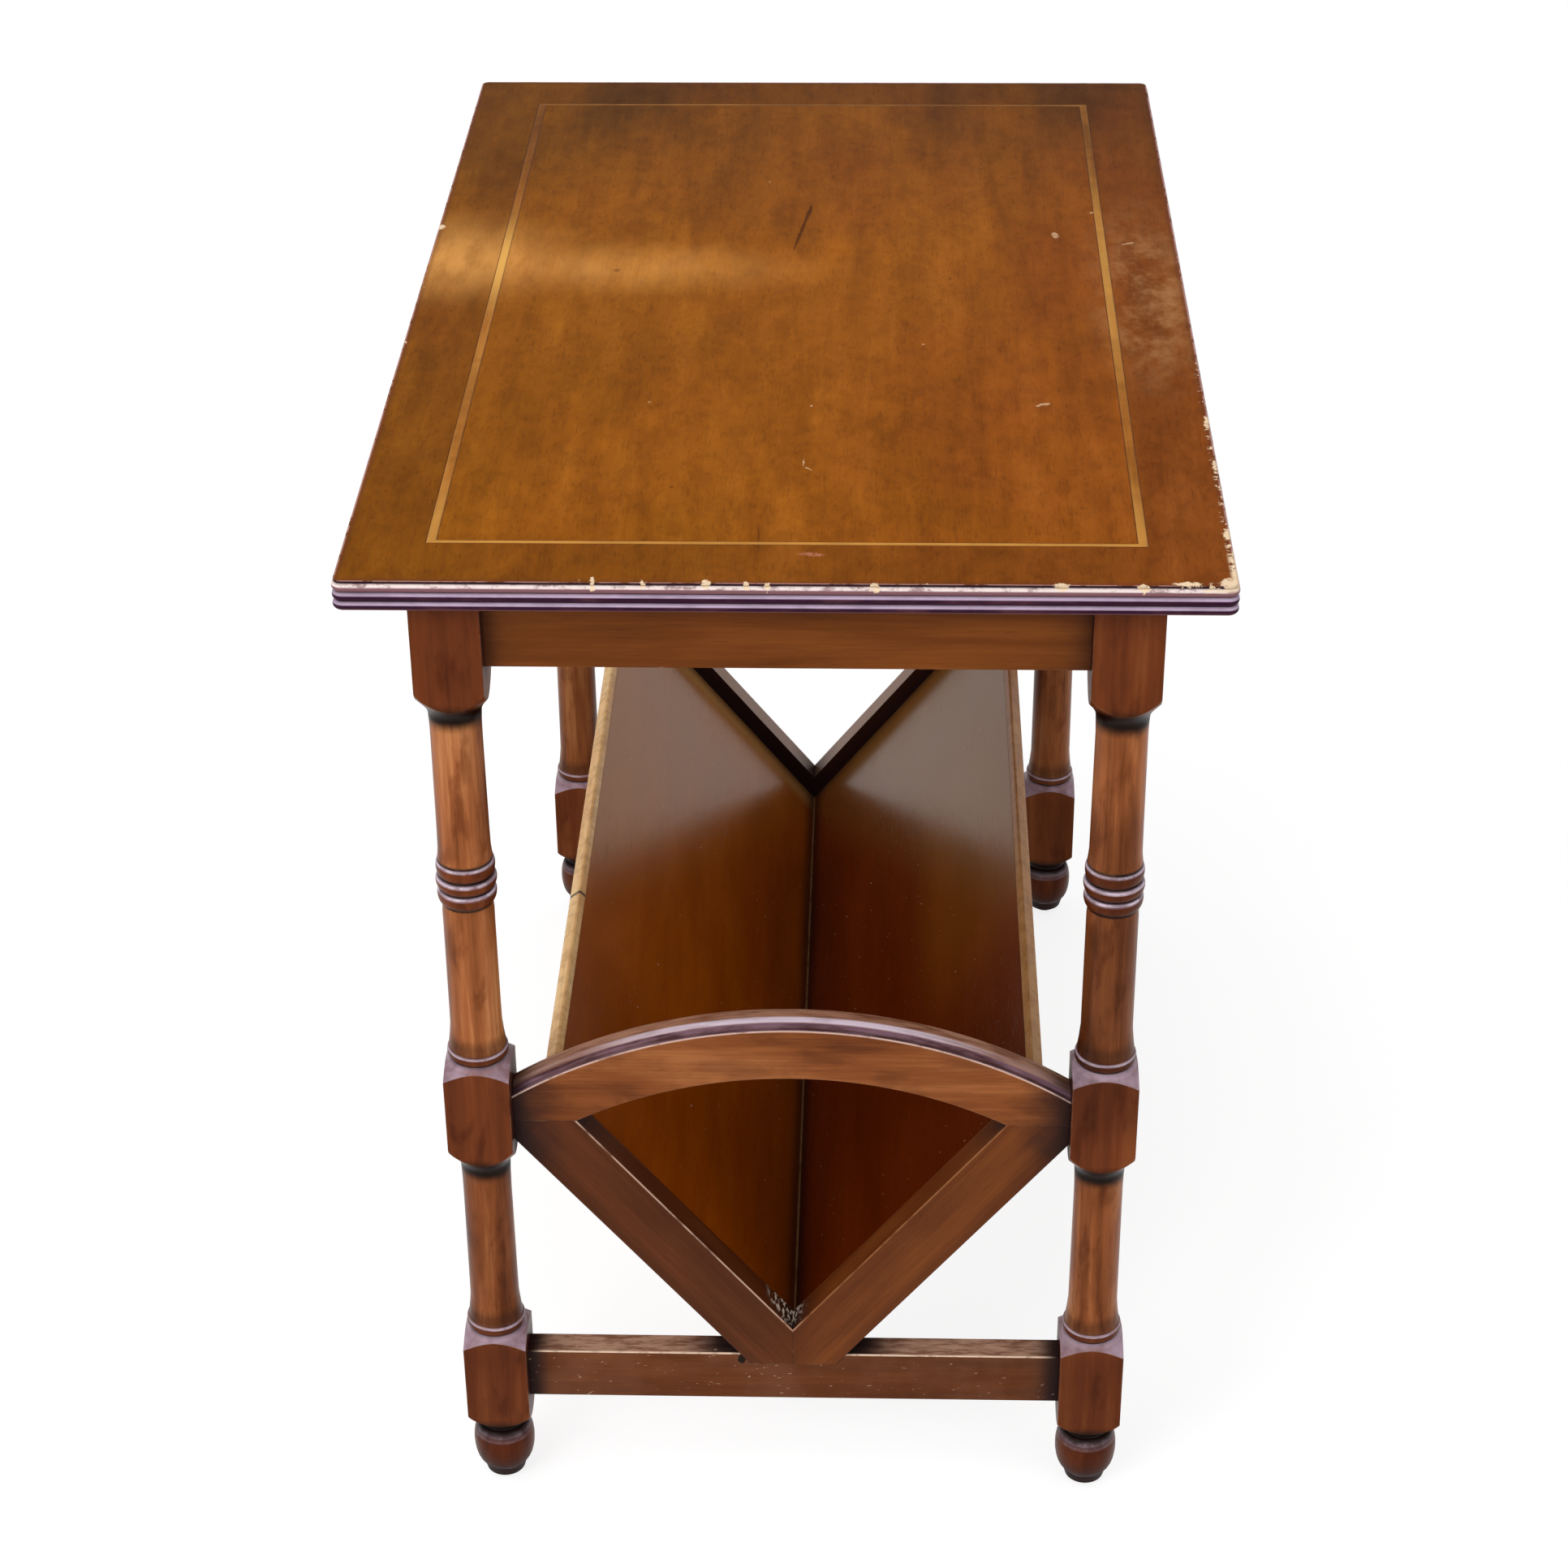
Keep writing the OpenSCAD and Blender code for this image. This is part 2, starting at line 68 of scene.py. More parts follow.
# Patches on the top, seen from above, where pools of sunlight are painted, and a paler one at the far end:
# middle and half sizes in millimetres, turn in degrees, and strength
TOP_MM = 1000 * TOP_Z
SUNLIT_PATCHES = ((-190, 47, 104, 70, -6, 0.8), (-110, 36, 150, 46, -3, 0.36))
PALER_PATCHES = ((-80, 36, 130, 44, 0, 0.45), (8, 44, 62, 46, 20, 0.50), (24, 262, 24, 64, 8, 0.7))

# Marks on the top, seen from above: middle and half sizes in millimetres, and turn in degrees
SCRATCHES = (
    (115.5, -126.7, 3.2, 1.6, 12), (112.5, -128.6, 1.6, 1.0, 0), (5.6, -189, 0.5, 4.2, 0),
    (8, -195, 3, 0.5, -38), (128.7, 76.8, 2.2, 5, 8), (165.4, 66.3, 4.5, 1.1, 28),
    (148.9, 107.9, 2.4, 1.2, 15), (-67.2, -126, 0.9, 1.2, 0), (8, -129.6, 0.8, 1.3, 0),
    (60, -60, 0.7, 1.0, 0), (-20, 150, 0.6, 1.1, 0))
PINK_SCRATCH = ((11.1, -277.2, 7, 2.2, -6),)
CRACK = ((-1.2, 85, 1.1, 38, -7.6), (1.6, 106, 1.5, 15, -7.6))
DIRT = ((-93.3, 29.2, 2.2, 2.6, 0), (-12, -262, 0.6, 16, 2), (-52, -214, 1.1, 1.6, 0), (74, 20, 1, 2.1, 0))
EDGE_CHIPS = (
    (-80.1, -302.5, 1.6, 4.5, 0), (-59.1, -303, 1.2, 2.4, 0), (-32.5, -303, 2.2, 2.6, 0),
    (-15.5, -303.5, 1.4, 2.2, 0), (-7, -304, 1.3, 1.5, 0), (38, -304, 3, 1.6, 0),
    (116, -303.5, 4, 1.8, 0), (168, -302, 7, 2.2, 0),
    (186, -300.5, 4.5, 4.5, 0), (188, -258, 1.6, 5, 0), (188.5, -145, 1.4, 8, 0), (188.8, -190, 1.3, 6, 0),
    (-188.6, 85.2, 2, 4, 0), (-189, -60, 1, 2, 0), (150, -303.8, 3, 1.4, 0))

# Single places with their middles and half sizes in millimetres
CHIPPED_CORNER = ((190, -305, 530), (46, 60, 40))
SCUFFS = ((170, 0, TOP_MM), (38, 150, 80))
BRIGHT_STRING_LEFT = ((-150, 40, TOP_MM), (60, 84, 80))
BRIGHT_STRING_RIGHT = ((150, 20, TOP_MM), (30, 180, 80))
CRUMB_HEAP = ((-8, -257, 102), (17, 15, 17))
VALLEY_DIRT = ((-2, -250, 90), (24, 18, 22))
OPEN_NOTCH = ((-25.5, -269.5, 80.5), (2.4, 6, 3.8))

# The trough's painted reflection begins where y and this many times the distance from the middle come to the
# start value below, and is full at the full value
REFLECTION_SLOPE = 2.79
REFLECTION_START = 0.20
REFLECTION_FULL = 0.33
LIPPING_BREAK_Y = -0.0747


def srgb(r, g, b):
    """A colour read as 0 to 255 in a picture, as the shader's linear numbers."""
    shares = (r / 255, g / 255, b / 255)
    return tuple(c / 12.92 if c <= 0.04045 else ((c + 0.055) / 1.055) ** 2.4 for c in shares)


# Colours
# Grime, and the colour of painted shade in corners and by the legs
GRIME_AND_SHADE = srgb(28, 15, 19)
BARE = srgb(182, 134, 104)
CREAM = srgb(240, 212, 176)
# Dust with a painted reflection of the sky on it
LILAC = srgb(194, 168, 184)

# Tints of the varnish's gloss
VARNISH = (1.0, 0.70, 0.50)
OLD_VARNISH = (1.0, 0.74, 0.46)
TOP_VARNISH = (1.0, 0.62, 0.30)


class Graph:
    """A material's node tree, with short calls for the nodes that the woods use."""

    def __init__(self, name):
        self.material = bpy.data.materials.new(name)
        self.material.use_nodes = True
        self.tree = self.material.node_tree
        self.tree.nodes.clear()
        geometry = self.node("ShaderNodeNewGeometry")
        self.position = geometry.outputs["Position"]
        self.normal = geometry.outputs["Normal"]
        self.x, self.y, self.z = self.axes(self.position)
        self.up = self.axes(self.normal)[2]

    def node(self, kind, **settings):
        made = self.tree.nodes.new(kind)
        for key, value in settings.items():
            setattr(made, key, value)
        return made

    def put(self, socket, value):
        if isinstance(value, bpy.types.NodeSocket):
            self.tree.links.new(value, socket)
        elif socket.type == "RGBA":
            socket.default_value = (*value, 1)
        else:
            socket.default_value = value

    def math(self, operation, a, b=0.0):
        made = self.node("ShaderNodeMath", operation=operation)
        self.put(made.inputs[0], a)
        self.put(made.inputs[1], b)
        return made.outputs[0]

    def size(self, value):
        """value without its sign."""
        return self.math("ABSOLUTE", value)

    def less(self, a, b):
        return self.math("SUBTRACT", a, b)

    def times(self, first, *others):
        for other in others:
            first = self.math("MULTIPLY", first, other)
        return first

    def plus(self, first, *others):
        for other in others:
            first = self.math("ADD", first, other)
        return first

    def most(self, first, *others):
        for other in others:
            first = self.math("MAXIMUM", first, other)
        return first

    def rest(self, share):
        return self.less(1.0, share)

    def off(self, value, centre):
        """Distance of value from centre."""
        return self.size(self.less(value, centre))

    def vector(self, operation, a, b=(0, 0, 0)):
        made = self.node("ShaderNodeVectorMath", operation=operation)
        self.put(made.inputs[0], a)
        self.put(made.inputs[1], b)
        number = operation in ("DOT_PRODUCT", "LENGTH")
        return made.outputs["Value" if number else "Vector"]

    def axes(self, point):
        made = self.node("ShaderNodeSeparateXYZ")
        self.put(made.inputs[0], point)
        return made.outputs

    def join(self, x, y, z):
        made = self.node("ShaderNodeCombineXYZ")
        for socket, value in zip(made.inputs, (x, y, z)):
            self.put(socket, value)
        return made.outputs[0]

    def span(self, value, low, high, to_low=0.0, to_high=1.0):
        """value's way from low to high, as a number from to_low to to_high."""
        made = self.node("ShaderNodeMapRange", interpolation_type="SMOOTHSTEP")
        for key, number in (("Value", value), ("From Min", low), ("From Max", high),
                            ("To Min", to_low), ("To Max", to_high)):
            self.put(made.inputs[key], number)
        return made.outputs[0]

    def near(self, value, centre, reach, core=0.2):
        """1 where value is at centre, falling to 0 at reach."""
        return self.span(self.off(value, centre), reach, reach * core)

    def within(self, value, low, high, soft_low, soft_high):
        """1 between low and high, with a soft end at each."""
        return self.times(self.span(value, low, low + soft_low), self.span(value, high, high - soft_high))

    def noise(self, point, scale, detail=3.0, rough=0.55, distort=0.0, colour=False):
        made = self.node("ShaderNodeTexNoise")
        for key, value in (("Vector", point), ("Scale", scale), ("Detail", detail), ("Roughness", rough),
                           ("Distortion", distort)):
            self.put(made.inputs[key], value)
        return made.outputs[1 if colour else 0]

    def patchy(self, stretch, detail=3, rough=0.6, distort=0.0):
        """Noise over the position, with its own scale along each axis."""
        return self.noise(self.vector("MULTIPLY", self.position, stretch), 1, detail, rough, distort)

    def wave(self, scale, detail, rough, reach):
        """A slow rise and fall over the position, by reach in all."""
        return self.times(self.less(self.noise(self.position, scale, detail, rough), 0.5), reach)

    def mix(self, share, a, b, blend="MIX"):
        made = self.node("ShaderNodeMix", data_type="RGBA", blend_type=blend)
        self.put(made.inputs[0], share)
        self.put(made.inputs[6], a)
        self.put(made.inputs[7], b)
        return made.outputs[2]

    def mix_number(self, share, a, b):
        """a where share is 0, b where it is 1."""
        return self.plus(self.times(a, self.rest(share)), self.times(b, share))

    def ramp(self, value, stops):
        made = self.node("ShaderNodeValToRGB")
        self.put(made.inputs[0], value)
        points = made.color_ramp.elements
        while len(points) < len(stops):
            points.new(0.5)
        for point, (place, colour) in zip(points, stops):
            point.position = place
            point.color = (*colour, 1)
        return made.outputs[0]

    def shade(self, colour, share, factor):
        """colour times factor, where share is 1."""
        return self.mix(share, colour, factor, "MULTIPLY")

    def shaken(self, scale, reach):
        """Position moved about by reach, so that marks get ragged edges."""
        cloud = self.noise(self.position, scale, 2, 0.6, colour=True)
        drift = self.vector("SUBTRACT", cloud, (0.5, 0.5, 0.5))
        return self.vector("ADD", self.position, self.vector("MULTIPLY", drift, (reach, reach, reach)))

    def oval(self, point, centre, half, turn=0.0, soft=0.5):
        """1 inside an oval round centre, in millimetres; half gives its half sizes."""
        made = self.node("ShaderNodeMapping", vector_type="TEXTURE")
        self.put(made.inputs["Vector"], point)
        self.put(made.inputs["Location"], tuple(v / 1000 for v in centre))
        self.put(made.inputs["Rotation"], (0, 0, math.radians(turn)))
        self.put(made.inputs["Scale"], tuple(v / 1000 for v in half))
        return self.span(self.vector("LENGTH", made.outputs[0]), 1, 1 - soft)

    def ovals(self, point, marks, depth=9, soft=0.5, at=TOP_MM):
        """1 inside any of marks, each with its middle, its half sizes and its turn."""
        inside = 0.0
        for x, y, half_x, half_y, turn in marks:
            inside = self.most(inside, self.oval(point, (x, y, at), (half_x, half_y, depth), turn, soft))
        return inside

    def patches(self, point, rows):
        """Soft ovals on the top, each with its middle, its half sizes, its turn and its strength."""
        share = 0.0
        for x, y, half_x, half_y, turn, strength in rows:
            oval = self.oval(point, (x, y, TOP_MM), (half_x, half_y, 80), turn, 1)
            share = self.most(share, self.times(oval, strength))
        return share

    def finish(self, colour, roughness, normal, specular, gloss_tint, metallic=0.0):
        shader = self.node("ShaderNodeBsdfPrincipled")
        for key, value in (("Base Color", colour), ("Roughness", roughness), ("Normal", normal),
                           ("Specular IOR Level", specular), ("Specular Tint", gloss_tint),
                           ("Metallic", metallic)):
            self.put(shader.inputs[key], value)
        out = self.node("ShaderNodeOutputMaterial")
        self.put(out.inputs["Surface"], shader.outputs[0])
        return self.material


def grain_point(g, along):
    """Position with the grain's own direction last, so that noise can be stretched along it."""
    if along == "x":
        return g.join(g.y, g.z, g.x)
    if along == "y":
        return g.join(g.x, g.z, g.y)
    if along == "z":
        return g.position
    up_rail = g.plus(g.times(g.z, math.sin(RAIL_ANGLE)), g.times(g.size(g.x), math.cos(RAIL_ANGLE)))
    return g.join(v_height(g), g.y, up_rail)


def v_height(g):
    """Distance above the inner edges of the V, square to them."""
    side = g.size(g.x)
    rise = g.less(g.less(g.z, APEX_Z), g.times(side, math.tan(RAIL_ANGLE)))
    return g.times(rise, math.cos(RAIL_ANGLE))


def wood(name, along, tones, seed, grime_and_shade=0.7, edge=0.5, dust_and_sheen=0.0, specular=0.14, roughness=0.32, corner=0.024,
         streak=1.0, mottle=1.0, spread=0.16, bands_at=75, paint=None, marks=None, gloss_tint=VARNISH):
    """A varnished wood: tones are its dark, middle and light colours, along is the way its grain runs."""
    g = Graph(name)
    p = g.vector("ADD", grain_point(g, along), (seed, seed * 1.7, seed * 2.3))
    broad = g.noise(g.vector("MULTIPLY", p, (18, 18, 6)), 1, 3, 0.55, 0.5)
    bands = g.noise(g.vector("MULTIPLY", p, (bands_at, bands_at, 7)), 1, 3, 0.5, 0.5)
    fine = g.noise(g.vector("MULTIPLY", p, (560, 560, 22)), 1, 3, 0.6)
    pores = g.noise(g.vector("MULTIPLY", p, (1500, 1500, 90)), 1, 2, 0.5)
    share = mottle / (mottle + streak)
    shimmer = g.times(g.less(fine, 0.5), 0.22 * streak)
    tone = g.plus(g.times(broad, share), g.times(bands, 1 - share), shimmer)
    dark, mid, light = tones
    colour = g.ramp(tone, [(0.5 - spread, dark), (0.5, mid), (0.5 + spread, light)])
    pore = g.span(pores, 0.58, 0.70)
    colour = g.shade(colour, g.times(pore, 0.25), (0.4, 0.33, 0.33))
    if paint:
        colour = paint(g, colour)
    # Grime and painted shade in the corners
    closed_in = g.node("ShaderNodeAmbientOcclusion", samples=2)
    closed_in.inputs["Distance"].default_value = corner
    ragged = g.wave(90, 3, 0.6, 0.3)
    closed = g.times(g.span(g.plus(closed_in.outputs["AO"], ragged), 0.90, 0.46), grime_and_shade)
    colour = g.mix(closed, colour, GRIME_AND_SHADE)
    # Pale haze on what faces up: dust, and a painted reflection of the sky
    if dust_and_sheen:
        cloud = g.span(g.noise(g.position, 60, 3, 0.65), 0.32, 0.62, 0.45, 1.0)
        faces_up = g.times(g.span(g.up, 0.12, 0.6), g.span(g.up, 0.93, 0.995, 1.0, 0.5))
        haze = g.times(faces_up, cloud, dust_and_sheen, g.rest(closed), g.span(g.z, 0.03, 0.045, 0.45, 1.0))
        colour = g.mix(haze, colour, LILAC)
    # Worn edges
    rounded = g.node("ShaderNodeBevel", samples=2)
    rounded.inputs["Radius"].default_value = 0.001
    turned = g.span(g.vector("DOT_PRODUCT", rounded.outputs[0], g.normal), 0.995, 0.9)
    rubbed = g.span(g.noise(g.position, 75, 3, 0.65), 0.40, 0.62)
    worn = g.times(turned, rubbed, edge, g.rest(closed))
    colour = g.mix(worn, colour, BARE)
    chips = g.times(g.span(g.noise(g.position, 210, 3, 0.7), 0.68, 0.71), turned, edge)
    colour = g.mix(chips, colour, CREAM)
    if marks:
        colour = marks(g, colour)
    height = g.less(g.times(fine, 0.5), g.times(pore, 0.5))
    bumped = g.node("ShaderNodeBump")
    for key, value in (("Height", height), ("Strength", 0.2), ("Distance", 0.0004),
                       ("Normal", rounded.outputs[0])):
        g.put(bumped.inputs[key], value)
    rough = g.plus(roughness, g.times(g.less(broad, 0.5), 0.2), g.times(closed, 0.3), g.times(worn, 0.2))
    return g.finish(colour, rough, bumped.outputs[0], specular, gloss_tint)


def paint_top(g, colour):
    """Tones, marks of use and edge of the top."""
    colour = top_tones(g, colour)
    colour = top_marks(g, colour)
    return top_edge(g, colour)


def top_tones(g, colour):
    """Olive on the left and red on the right, redder borders, a duller far end, and golden places of painted
    sunlight.
    """
    hue = g.plus(g.times(g.x, 1.5), g.times(g.patchy((14, 7, 1), 2, 0.5), 0.7), -0.35)
    colour = g.shade(colour, g.span(hue, 0.02, 0.34), (0.98, 0.86, 1.5))
    colour = g.shade(colour, g.span(hue, -0.02, -0.34), (0.95, 1.03, 0.8))
    past_x = g.less(g.size(g.x), STRING_X)
    past_y = g.less(g.size(g.y), STRING_Y)
    border = g.span(g.most(past_x, past_y), -0.001, 0.001)
    colour = g.shade(colour, border, (0.80, 0.79, 1.0))
    cloud = g.patchy((20, 5, 1), 2, 0.5)
    far = g.times(g.span(g.y, 0.07, 0.29), g.span(cloud, 0.34, 0.64, 1.0, 0.45))
    colour = g.shade(colour, far, (0.46, 0.49, 0.44))
    patches = g.patchy((85, 48, 1), 4, 0.7, 0.3)
    colour = g.shade(colour, g.span(patches, 0.56, 0.34), (0.82, 0.80, 0.77))
    colour = g.shade(colour, g.span(patches, 0.54, 0.70), (1.12, 1.14, 1.2))
    flecks = g.patchy((700, 190, 1), 2, 0.6)
    colour = g.shade(colour, g.times(g.span(flecks, 0.56, 0.70), 0.5), (0.66, 0.58, 0.5))
    # Painted pools of sunlight on the left and a little in the middle, scuffed on the right, and a little
    # paler at the far end
    soft = g.shaken(14, 0.03)
    uneven = g.span(g.patchy((70, 18, 1), 4, 0.7), 0.34, 0.62, 0.6, 1.0)
    colour = g.mix(g.times(g.patches(soft, SUNLIT_PATCHES), uneven), colour, srgb(232, 164, 84))
    scuffed = g.times(g.oval(g.position, *SCUFFS, 0, 0.9), g.span(g.patchy((46, 30, 1), 4, 0.75), 0.36, 0.72))
    colour = g.mix(g.times(scuffed, 0.8), colour, srgb(182, 130, 82))
    colour = g.shade(colour, g.patches(soft, PALER_PATCHES), (1.55, 1.6, 1.8))
    # Dark lines beside the stringing
    outer = g.near(g.most(past_x, past_y), 0.0, 0.0005, 0.5)
    inner = g.near(g.most(g.plus(past_x, STRING_SIDE), g.plus(past_y, STRING_END)), 0.0, 0.0005, 0.5)
    return g.shade(colour, g.times(g.most(outer, inner), 0.75), (0.35, 0.28, 0.25))


def top_marks(g, colour):
    """Scratches, a crack and dirt."""
    ragged = g.shaken(700, 0.0016)
    flaking = g.span(g.noise(g.position, 900, 2, 0.6), 0.36, 0.52)
    colour = g.mix(g.times(g.ovals(ragged, SCRATCHES), flaking, 0.85), colour, srgb(226, 186, 146))
    colour = g.mix(g.times(g.ovals(ragged, PINK_SCRATCH), flaking, 0.55), colour, srgb(206, 130, 104))
    colour = g.shade(colour, g.times(g.ovals(ragged, CRACK), 0.85), (0.3, 0.25, 0.3))
    return g.shade(colour, g.times(g.ovals(ragged, DIRT), 0.6), (0.35, 0.3, 0.35))


def top_edge(g, colour):
    """A rubbed line, a dark step, reeds that are pale above, with wear and a painted highlight, and dark
    purple below, and bare chips.
    """
    out_x, out_y = g.size(g.x), g.size(g.y)
    upper = g.span(g.up, 0.8, 0.95)
    rim = g.most(g.span(out_x, TOP_X - 0.0045, TOP_X - 0.0022),
                 g.span(out_y, TOP_Y - 0.005, TOP_Y - 0.0022))
    colour = g.mix(g.times(rim, upper, 0.4), colour, srgb(96, 50, 36))
    line = g.most(g.span(out_x, TOP_X - 0.0019, TOP_X - 0.0014),
                  g.span(out_y, TOP_Y - 0.0019, TOP_Y - 0.0014))
    broken = g.span(g.noise(g.position, 150, 3, 0.6), 0.36, 0.5)
    colour = g.mix(g.times(line, upper, broken, 0.8), colour, srgb(196, 148, 142))
    # Reeds with wear and a painted highlight on their upper sides, of which the first is the palest and
    # flakes
    first = g.span(g.z, FIRST_REED_FOOT - 0.0003, FIRST_REED_FOOT + 0.0003)
    along_edge = g.patchy((26, 26, 90), 4, 0.7)
    flaked = g.span(g.patchy((150, 150, 380), 4, 0.75), 0.34, 0.52, 0.25, 1.0)
    low = g.plus(0.22, g.times(first, -0.12))
    pale = g.times(g.span(g.less(g.up, low), 0.0, 0.28), g.span(g.up, 0.97, 0.88))
    pale = g.times(pale, g.mix_number(first, g.span(along_edge, 0.32, 0.6, 0.7, 1.0), flaked))
    below = g.mix(g.span(along_edge, 0.45, 0.7), srgb(50, 24, 44), srgb(84, 48, 58))
    below = g.mix(first, below, srgb(132, 92, 98))
    reeds = g.mix(pale, below, g.mix(first, srgb(204, 180, 206), srgb(236, 218, 214)))
    step = g.span(g.z, TOP_Z - ARRIS - 0.0001, TOP_Z - ARRIS + 0.0001)
    reeds = g.mix(step, reeds, srgb(48, 30, 38))
    foot = g.span(g.z, TOP_UNDER + 0.0016, TOP_UNDER + 0.0008)
    reeds = g.mix(g.times(foot, 0.7), reeds, srgb(120, 78, 74))
    # The side faces get the reeds, and the underside plain wood
    side = g.span(g.up, 0.985, 0.95)
    underside = g.span(g.up, -0.9, -0.98)
    plain = g.shade(colour, 1.0, (0.62, 0.60, 0.9))
    colour = g.mix(side, colour, g.mix(underside, reeds, plain))
    # Bare chips, most at the front right corner
    corner = g.oval(g.position, *CHIPPED_CORNER, 0, 1)
    right_side = g.times(g.span(g.x, 0.18, 0.188), g.span(g.y, 0.02, -0.2))
    chips = g.noise(g.position, 230, 4, 0.75)
    reach = g.plus(0.68, g.times(corner, -0.22), g.times(right_side, -0.12))
    lip = g.span(g.z, TOP_Z - 0.0035, TOP_Z - 0.0006)
    scattered = g.times(g.span(g.less(chips, reach), 0.0, 0.02), g.most(rim, side), lip)
    placed = g.ovals(g.shaken(420, 0.0045), EDGE_CHIPS, 3.2, 0.25, TOP_MM - 1)
    chipped = g.most(scattered, placed)
    return g.mix(g.times(chipped, g.span(chips, 0.3, 0.5, 0.5, 1.0)), colour, CREAM)


def paint_stringing(g, colour):
    """Dull in places and at the far end, with painted sunlight on the left and on the right, and bright at
    the front.
    """
    dull = g.span(g.patchy((30, 30, 1), 3, 0.6), 0.60, 0.40)
    colour = g.shade(colour, g.times(dull, 0.6), (0.62, 0.56, 0.44))
    # Painted sunlight on the left and on the right, and brighter at the front
    bright = g.most(g.times(g.oval(g.position, *BRIGHT_STRING_LEFT, 0, 1), 0.9),
                    g.times(g.oval(g.position, *BRIGHT_STRING_RIGHT, 0, 0.8), 0.3),
                    g.times(g.span(g.y, -0.2, -0.25), 0.3))
    colour = g.mix(bright, colour, srgb(240, 180, 90))
    return g.shade(colour, g.span(g.y, 0.10, 0.20), (0.62, 0.58, 0.5))


def shaky_height(g):
    """Height with a small wave, so that bands round the legs aren't ruled."""
    return g.plus(g.z, g.wave(90, 2, 0.5, 0.004))


def paint_leg(g, colour):
    """Blocks and beads darker than the shafts, stains, and dark lines in the quirks."""
    height = shaky_height(g)
    block = 0.0
    for low, high in DARK_TURNING:
        stretch = g.times(g.span(height, low - 0.001, low + 0.001), g.span(g.z, high + 0.001, high - 0.001))
        block = g.most(block, stretch)
    colour = g.shade(colour, block, (0.41, 0.27, 0.19))
    colour = g.mix(g.times(block, 0.45), colour, srgb(106, 53, 27))
    blots = g.patchy((90, 90, 30), 3, 0.6, 0.3)
    colour = g.shade(colour, g.span(blots, 0.50, 0.70), (0.64, 0.57, 0.52))
    # Painted shade towards the floor, and darker in the middle of the right legs
    shaft = g.rest(block)
    right_leg = g.span(g.x, -0.05, 0.05)
    colour = g.shade(colour, g.times(g.span(g.z, 0.30, 0.20), shaft), (0.72, 0.66, 0.62))
    colour = g.shade(colour, g.times(right_leg, g.near(g.z, 0.315, 0.10, 0.75)), (0.66, 0.62, 0.62))
    colour = g.shade(colour, g.times(right_leg, g.near(g.z, 0.305, 0.05, 0.6)), (0.74, 0.72, 0.70))
    colour = g.shade(colour, g.span(g.y, -0.1, 0.1), (1.05, 1.14, 1.14))
    colour = g.shade(colour, g.span(g.z, 0.10, 0.085), (0.80, 0.76, 0.72))
    colour = g.shade(colour, g.span(g.z, 0.036, 0.032), (0.66, 0.56, 0.56))
    colour = g.shade(colour, g.times(g.span(g.z, 0.21, 0.19), shaft, g.rest(right_leg)), (0.80, 0.76, 0.72))
    # Painted shade under the top
    colour = g.shade(colour, g.span(g.z, 0.506, 0.521), (0.66, 0.60, 0.55))
    dark = 0.0
    for quirk in QUIRKS:
        dark = g.most(dark, g.near(g.z, quirk, 0.0016, 0.35))
    for foot in SHAFT_FOOT:
        dark = g.most(dark, g.times(g.near(height, foot + 0.003, 0.008, 0.2), 0.5))
    colour = g.mix(g.times(dark, 0.95), colour, srgb(20, 9, 10))
    pad = g.span(g.z, 0.0105, 0.0085)
    return g.mix(g.times(pad, 0.85), colour, srgb(30, 14, 14))


def mark_leg(g, colour):
    """Painted highlights on the upper sides of the beads, the rings and the feet, and dark bands at the
    necks.
    """
    beads = g.times(g.span(g.z, 0.034, 0.032), 0.45)
    for low, high in BEADS:
        beads = g.most(beads, g.within(g.z, low, high, 0.001, 0.0006))
    uneven = g.span(g.noise(g.position, 110, 3, 0.7), 0.38, 0.60, 0.2, 1.0)
    # Painted highlights where the beads, rings and feet turn upwards
    colour = g.mix(g.times(beads, g.near(g.up, 0.5, 0.32, 0.25), uneven, 0.9), colour, srgb(222, 204, 218))
    height = shaky_height(g)
    dark = 0.0
    for neck in NECKS:
        dark = g.most(dark, g.near(height, neck + 0.0025, 0.0095, 0.25))
    return g.mix(dark, colour, srgb(16, 6, 5))


def paint_apron(g, colour):
    """Painted shade under the top."""
    return g.shade(colour, g.span(g.z, 0.490, 0.518), (0.55, 0.50, 0.46))


def shade_by_legs(g):
    """Painted shade where the arch and the V meet the legs."""
    ragged = g.wave(55, 3, 0.6, 0.02)
    return g.times(g.span(g.plus(g.size(g.x), ragged), 0.104, 0.131), 0.85)


def front(g):
    """1 on the front frame, 0 on the back one."""
    return g.span(g.y, 0.1, -0.1)


def right_of_middle(g):
    return g.span(g.x, -0.01, 0.01)


def broken_line(g, scale, low, high, least):
    """Share of a worn line that is still there, never under least."""
    return g.span(g.noise(g.position, scale, 3, 0.6), low, high, least, 1.0)


